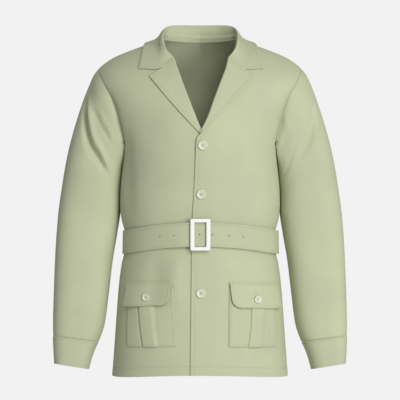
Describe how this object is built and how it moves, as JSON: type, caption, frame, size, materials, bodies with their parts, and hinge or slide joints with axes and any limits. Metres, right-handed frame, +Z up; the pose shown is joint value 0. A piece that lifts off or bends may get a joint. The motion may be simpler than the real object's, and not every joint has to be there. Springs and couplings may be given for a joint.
{
  "type": "belted blazer",
  "caption": "Belted safari blazer with notched lapels, patch pockets with buttoned flaps and a cloth belt through a slide buckle.",
  "frame": {"origin": "middle of the neck opening, at the height of the inner ends of the shoulder seams, where the wearer's shoulders hold the garment up", "axes": "+Z up, the front faces -Y, the wearer's left is +X"},
  "size_m": [0.6414, 0.2759, 0.7756],
  "materials": {
    "cloth": "matte sage cotton twill",
    "button": "pearly polished",
    "buckle": "smooth white"
  },
  "bodies": {
    "root": {"front_left": "cloth", "front_right": "cloth", "back": "cloth", "sleeve_left": "cloth", "sleeve_right": "cloth", "cuff_left": "cloth", "cuff_right": "cloth", "lapel_left": "cloth", "lapel_right": "cloth", "pocket_left": "cloth", "pocket_right": "cloth", "pocket_flap_left": "cloth", "pocket_flap_right": "cloth", "flap_button_left": "button", "flap_button_right": "button", "collar": "cloth", "front_button_1": "button", "front_button_2": "button", "front_button_3": "button", "belt": "cloth", "buckle": "buckle"}
  },
  "joints": []
}
